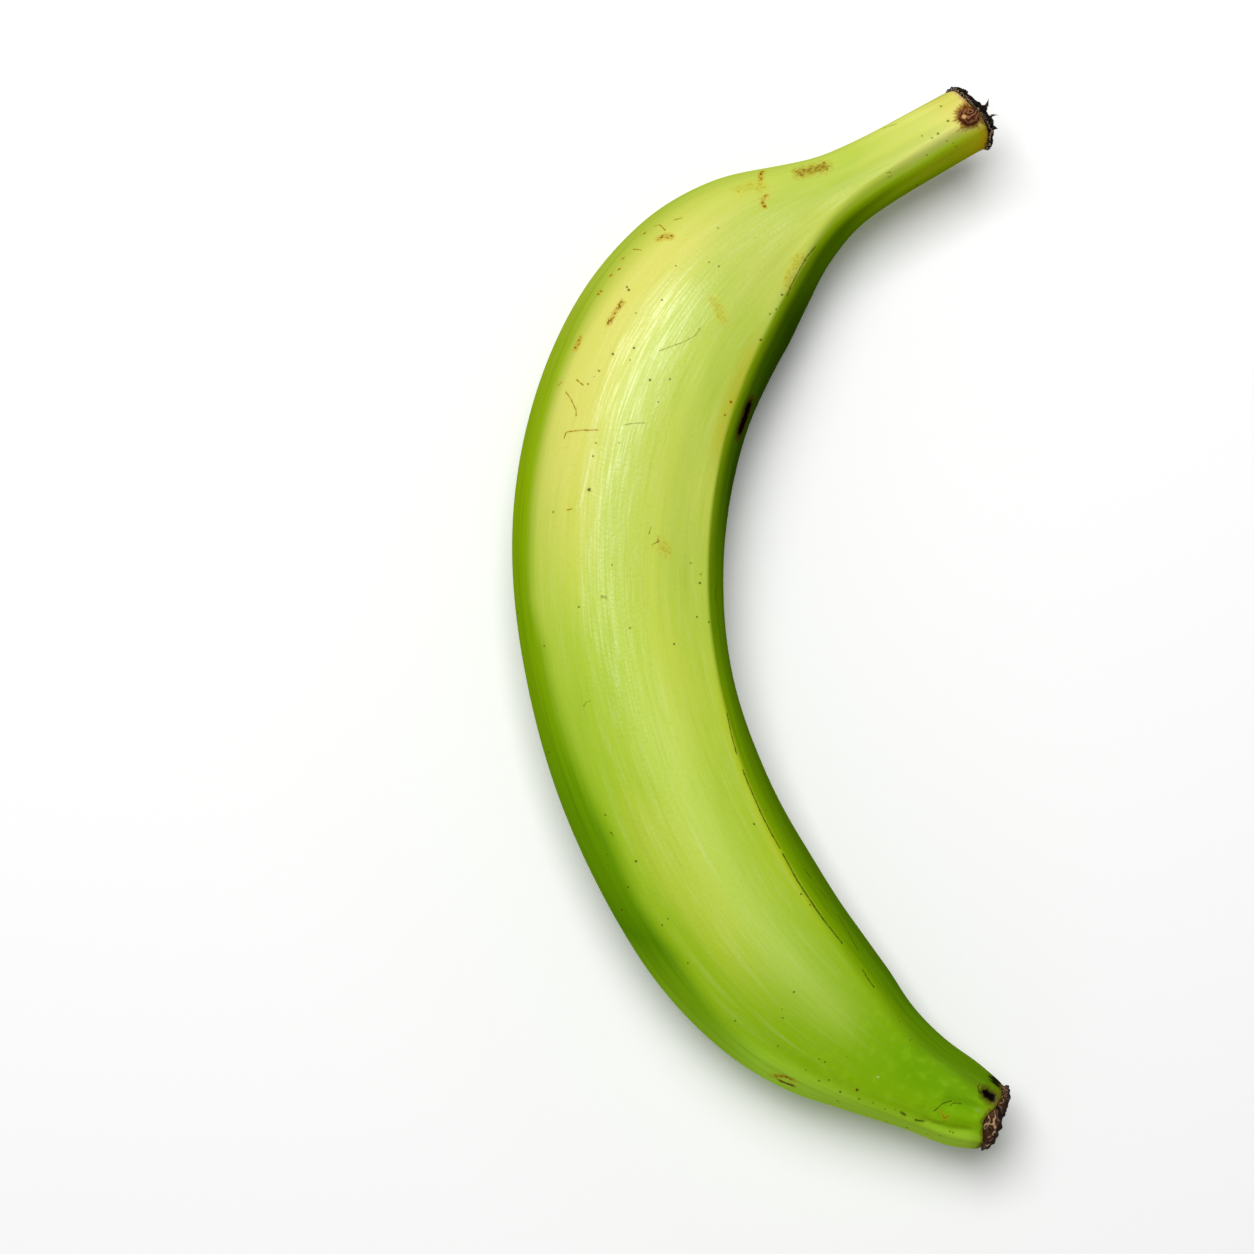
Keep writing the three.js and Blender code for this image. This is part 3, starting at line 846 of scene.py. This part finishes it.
# The wax is smoother in places, thin towards the side faces and the ends, and finely broken up by the
# fibres. It is worn off the knot and the marks.
SMOOTHEST, ROUGHEST = 0.27, 0.38
waxy = add_node(tree, "MapRange", {0: pits, 1: 0.3, 2: 0.7, 3: SMOOTHEST, 4: ROUGHEST})
relief = add_node(tree, "Math", {0: fine, 1: 0.6, 2: pits}, operation="MULTIPLY_ADD")
bumped = add_node(tree, "Bump", {"Strength": 0.35, "Distance": 0.12 * MM, "Height": relief})
facing = add_node(tree, "LayerWeight", {"Blend": 0.5}, "Facing")
gloss = add_node(tree, "MapRange", {0: facing, 1: 0.08, 2: 0.42, 3: 0.45, 4: 0.0}, **softly)
waxed = add_node(tree, "MapRange", {0: fibres_and_sheen, 3: 0.25})
glint = add_node(tree, "MapRange", {0: fine, 1: 0.38, 2: 0.72, 3: 0.5, 4: 1.6}, **softly)
unworn = add_node(tree, "MapRange", {0: dull, 3: 1.0, 4: 0.1})
for factor in (waxed, glint, unworn):
    gloss = add_node(tree, "Math", {0: gloss, 1: factor}, operation="MULTIPLY")
shader = add_node(tree, "BsdfPrincipled", {
    "Base Color": skin, "Roughness": waxy, "IOR": 1.45, "Normal": bumped, "Specular IOR Level": gloss,
})
add_node(tree, "OutputMaterial", {"Surface": shader}, None)
peel.data.materials.append(material)
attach(peel, "root")
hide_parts("plantain")

# ------------------------
# The stem's scar: where the fruit was torn from its bunch, the stem ends in a crumpled crust of dried
# black sap and fibre, with shreds standing up from it. It grew out of the stem and is one with it.
# ------------------------

CRUST_TURNED_IN = [(0.5, 0.0), (0.7, -0.6)]
LUMP_SIZE, LUMP_HEIGHT = 1.7, 0.45
CRUMPLE_SIZE, CRUMPLE_HEIGHT = 0.7, 0.3
GRAIN_SIZE, GRAIN_HEIGHT = 0.3, 0.07
TEAR_SIZE, TEAR_HEIGHT = 1.3, 0.9
FULL_HEIGHT_FROM = 0.8  # beyond the peel's rim, from where the crust stands at its full height
UNDER_RIM = 0.22  # how deep it lies under the rim
close_openings(stem_scar, CRUST_TURNED_IN)
make_finer(stem_scar, 3)
points, normals = points_of(stem_scar), normals_of(stem_scar)
from_stem, _ = from_rims(points)
crumpled = LUMP_HEIGHT * rough(points, LUMP_SIZE, 3)
crumpled += CRUMPLE_HEIGHT * rough(points, CRUMPLE_SIZE, 4)
crumpled += GRAIN_HEIGHT * np.abs(rough(points, GRAIN_SIZE, 5))
standing = np.clip(-from_stem / FULL_HEIGHT_FROM, 0, 1)
torn = TEAR_HEIGHT * np.abs(rough(points, TEAR_SIZE, 6)) * np.clip(-from_stem - 0.5, 0, 1)
points += (crumpled * standing - UNDER_RIM * (1 - standing))[:, None] * normals
points += torn[:, None] * STEM_OUTWARD
set_points(stem_scar, points)

# The shreds and spikes of fibre that stand up from the crust.
bpy.ops.object.select_all(action="DESELECT")
bpy.ops.mesh.primitive_cone_add(vertices=5, radius1=1, radius2=0.02, depth=1, location=(0, 0, 0.5))
shred = bpy.context.object
bpy.ops.object.transform_apply(location=True, rotation=False, scale=False)
bpy.ops.object.mode_set(mode="EDIT")
bpy.ops.mesh.select_all(action="SELECT")
bpy.ops.mesh.subdivide(number_cuts=3)
bpy.ops.object.mode_set(mode="OBJECT")
template = points_of(shred) * MM  # in the cone's own units
BENT = 0.35  # how far a shred's tip bends to its flat side, for each millimetre of its length
FLATNESS = 0.4  # its thickness, for each millimetre of its width


def stand_up(piece, roots, leans, lengths, half_widths, seed):
    """Adds bent, flattened, tapered shreds to the piece: one from each root, the way it leans."""
    chance = np.random.default_rng(seed)
    made = [piece]
    for root, lean, length, half_width in zip(roots, leans, lengths, half_widths):
        ahead = lean / np.linalg.norm(lean)
        across = np.cross(ahead, chance.normal(size=3))
        across /= np.linalg.norm(across)
        flat = np.cross(ahead, across)
        only_select(shred)
        bpy.ops.object.duplicate()
        one = bpy.context.object
        x, y, z = template.T
        taper = half_width * (1 - z**2.5)
        one_points = root + np.outer(z * length, ahead) + np.outer(BENT * length * z * z, flat)
        one_points += np.outer(x * taper, across) + np.outer(FLATNESS * y * taper, flat)
        set_points(one, one_points)
        made.append(one)
    bpy.ops.object.select_all(action="DESELECT")
    for one in made:
        one.select_set(True)
    bpy.context.view_layer.objects.active = piece
    bpy.ops.object.join()


SHREDS = 46
SHRED_LENGTHS = (0.4, 1.0)
SHRED_HALF_WIDTHS = (0.35, 0.8)
SHRED_DEPTH = 0.2  # how deep their roots are sunk
SPIKES = [((985, 110), (990, 102)), ((990, 117), (998, 114)), ((991, 131), (997, 132))]  # root, tip
SPIKE_LENGTHS = [1.9, 1.7, 1.3]
SPIKE_HALF_WIDTHS = [0.95, 0.8, 0.7]
SPIKE_RISE = 0.3  # from root to tip
chance = np.random.default_rng(11)
points, normals = points_of(stem_scar), normals_of(stem_scar)
from_stem, _ = from_rims(points)
outer = np.flatnonzero((from_stem < -0.7) & (normals @ STEM_OUTWARD > -0.3))
roots = chance.choice(outer, SHREDS)
leans = 0.5 * STEM_OUTWARD + 0.8 * normals[roots] + 0.6 * chance.normal(size=(SHREDS, 3))
shred_lengths = chance.uniform(*SHRED_LENGTHS, SHREDS)
shred_half_widths = chance.uniform(*SHRED_HALF_WIDTHS, SHREDS)
shred_roots = points[roots] - SHRED_DEPTH * normals[roots]
stand_up(stem_scar, shred_roots, leans, shred_lengths, shred_half_widths, 12)
spike_ends = (np.array(SPIKES) - FRAME_PIXELS / 2) * PIXEL * (1, -1) + VIEW_MIDDLE
spike_leans = spike_ends[:, 1] - spike_ends[:, 0]
spike_leans = np.pad(spike_leans, ((0, 0), (0, 1)), constant_values=SPIKE_RISE)
root_gaps = np.linalg.norm(points[outer, None, :2] - spike_ends[None, :, 0], axis=2)
roots = outer[(root_gaps - 0.05 * points[outer, 2, None]).argmin(0)]  # near, and rather high up
stand_up(stem_scar, points[roots], spike_leans, SPIKE_LENGTHS, SPIKE_HALF_WIDTHS, 13)
bpy.data.objects.remove(shred)

WORN_STEP = 0.05  # an edge that stands out this far counts as worn


def add_wear(piece):
    """Marks how far each vertex stands out from those round it, as worn edges do, and how far it is
    from the peel's rim and beyond the solid's."""
    points, normals = points_of(piece), normals_of(piece)
    out = ((points - neighbour_means(piece, points)) * normals).sum(1)
    edge = np.minimum(*(np.abs(rim) for rim in from_rims(points)))
    beyond = -np.minimum(*from_cuts(points))
    add_attribute(piece, "worn", np.stack([out / WORN_STEP, edge, beyond], 1))


GRIT = 0.4167
GRIT_HEIGHT = 0.15


def cover_with_crust(piece, material, tree, crust, roughness, specular):
    """Ends a dry, gritty material with its shader, and puts it on the piece."""
    here = in_millimetres(tree)
    grit = add_node(tree, "TexNoise", {
        "Vector": here, "Scale": 1 / GRIT, "Detail": 4, "Roughness": 0.7,
    })
    bumped = add_node(tree, "Bump", {"Strength": 0.6, "Distance": GRIT_HEIGHT * MM, "Height": grit})
    shader = add_node(tree, "BsdfPrincipled", {
        "Base Color": crust, "Roughness": roughness, "Specular IOR Level": specular, "Normal": bumped,
    })
    add_node(tree, "OutputMaterial", {"Surface": shader}, None)
    piece.data.materials.append(material)
    add_wear(piece)


# Dried black sap over fibre: nearly black and faintly glossy like pitch, brown where an edge is worn,
# with a thin pale line of torn skin where it meets the peel.
SAP_LUMP = 1.4286
TORN_EDGE = 0.8333
material, tree = new_material("dried_black_sap_and_fibre")
worn = add_node(tree, "Attribute", output="Vector", attribute_name="worn")
worn, edge, _ = add_node(tree, "SeparateXYZ", {0: worn}, output=None)
here = in_millimetres(tree)
lumps = add_node(tree, "TexNoise", {
    "Vector": here, "Scale": 1 / SAP_LUMP, "Detail": 4, "Roughness": 0.65,
})
torn = add_node(tree, "TexNoise", {"Vector": here, "Scale": 1 / TORN_EDGE, "Detail": 2})
crust = add_node(tree, "ValToRGB", {0: lumps}, stops=[
    (0.4, colour("080402")), (0.58, colour("1A0D06")), (0.68, colour("361E0E")),
    (0.78, colour("5A3A20")),
])
crust = lay_over(tree, crust, colour("64482E"), worn, 0.4, 1.4, 0.3)
edge = add_node(tree, "Math", {0: torn, 1: 1.4, 2: edge}, operation="MULTIPLY_ADD")
line_in = add_node(tree, "MapRange", {0: edge, 1: 1.06, 2: 0.98, 4: 0.7}, **softly)
line_out = add_node(tree, "MapRange", {0: edge, 1: 0.86, 2: 0.92}, **softly)
pale = add_node(tree, "Math", {0: line_in, 1: line_out}, operation="MULTIPLY")
crust = add_node(tree, "Mix", {0: pale, 6: crust, 7: colour("B09C7C")}, 2, **as_colour)
cover_with_crust(stem_scar, material, tree, crust, roughness=0.45, specular=0.05)
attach(stem_scar, "root")
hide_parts("plantain")

# ------------------------
# The flower's stub: a dry brown button, split by fissures that run round it, left where the flower
# withered. It grew out of the fruit's end and is one with it.
# ------------------------

FISSURES = [(0.4, (5, 5, 0.9), 7), (0.2, (2.4, 2.4, 0.45), 8)]  # depth, sizes round and along, seed
BLOCK_SIZE, BLOCK_HEIGHT = 1.2, 0.25
CORK_SIZE, CORK_HEIGHT = 0.5, 0.07
STUB_FULL_HEIGHT_FROM = 0.6
STUB_UNDER_RIM = 0.2
close_openings(flower_stub, CRUST_TURNED_IN)
make_finer(flower_stub, 3)
points, normals = points_of(flower_stub), normals_of(flower_stub)
along, _, _, direction = growth(points)
_, from_stub = from_rims(points)
standing = np.clip(-from_stub / STUB_FULL_HEIGHT_FROM, 0, 1)
grown = round_and_along(along, direction)
fissured = BLOCK_HEIGHT * rough(points, BLOCK_SIZE, 9)
fissured += CORK_HEIGHT * rough(points, CORK_SIZE, 10)
for depth, size, seed in FISSURES:
    fissured += depth * rough(grown, size, seed)
points += (fissured * standing - STUB_UNDER_RIM * (1 - standing))[:, None] * normals
set_points(flower_stub, points)
add_attribute(flower_stub, "grown", grown)

# Dry brown flower stub: withered tissue like thin cork. It is matt, dark in its fissures and along its
# outer edge, and reddish brown between them, with light tan lines that wind round it.
BAND_WIDTH = 1.4286
DARK_BLOCK = 1.25
material, tree = new_material("dry_brown_flower_stub")
worn = add_node(tree, "Attribute", output="Vector", attribute_name="worn")
worn, _, beyond = add_node(tree, "SeparateXYZ", {0: worn}, output=None)
grown = add_node(tree, "Attribute", output="Vector", attribute_name="grown")
across = add_node(tree, "VectorMath", {0: grown, 1: (0.2, 0.2, 0.9)}, operation="MULTIPLY")
here = in_millimetres(tree)
bands = add_node(tree, "TexNoise", {
    "Vector": across, "Scale": 1 / BAND_WIDTH, "Detail": 1, "Roughness": 0.3,
})
blocks = add_node(tree, "TexNoise", {"Vector": here, "Scale": 1 / DARK_BLOCK, "Detail": 2})
crust = add_node(tree, "ValToRGB", {0: bands}, stops=[
    (0.33, colour("140A05")), (0.37, colour("7C5C3E")), (0.4, colour("2C180C")),
    (0.52, colour("482A18")), (0.56, colour("B4986E")), (0.6, colour("341C10")),
    (0.8, colour("643E28")),
])
crust = lay_over(tree, crust, colour("160C08"), blocks, 0.48, 0.38, 0.4)
crust = lay_over(tree, crust, colour("8E6C50"), worn, 0.6, 2.0, 0.18)
crust = lay_over(tree, crust, colour("120A07"), beyond, 2.2, 2.8, 0.9)
cover_with_crust(flower_stub, material, tree, crust, roughness=0.75, specular=0.12)
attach(flower_stub, "root")
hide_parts("plantain")

# ------------------------
# The table and the light. The fruit lies loose on a white table, in an evenly lit pale room, under a
# large soft lamp that hangs a little to the left.
# ------------------------

TABLE_WIDTH = 6000
LAMP_AT = (-150, 400, 1200)
LAMP_WIDTH = 700
LAMP_WATTS = 16
ROOM_BRIGHTNESS = 0.27
bpy.ops.object.select_all(action="DESELECT")
bpy.ops.mesh.primitive_plane_add(size=TABLE_WIDTH * MM, location=(0, 0, 0))
floor = bpy.context.object
floor.name = "pale_table"

# Matt white table: flat paint with no shine, so nothing but the fruit's soft shadow shows on it.
material, tree = new_material("matt_white_table")
shader = add_node(tree, "BsdfPrincipled", {"Base Color": colour("F3F3F3"), "Roughness": 0.9})
add_node(tree, "OutputMaterial", {"Surface": shader}, None)
floor.data.materials.append(material)

scene = bpy.context.scene
scene.view_settings.view_transform = "Standard"
world = bpy.data.worlds.new("soft_room")
world.use_nodes = True
world.node_tree.nodes["Background"].inputs[0].default_value = colour("FFFFFF")
world.node_tree.nodes["Background"].inputs[1].default_value = ROOM_BRIGHTNESS
scene.world = world
bpy.ops.object.light_add(type="AREA", location=Vector(LAMP_AT) * MM)
lamp = bpy.context.object
lamp.data.shape = "SQUARE"
lamp.data.size = LAMP_WIDTH * MM
lamp.data.energy = LAMP_WATTS
lamp.rotation_euler = (Vector((0, 0, 0)) - lamp.location).to_track_quat("-Z", "Y").to_euler()
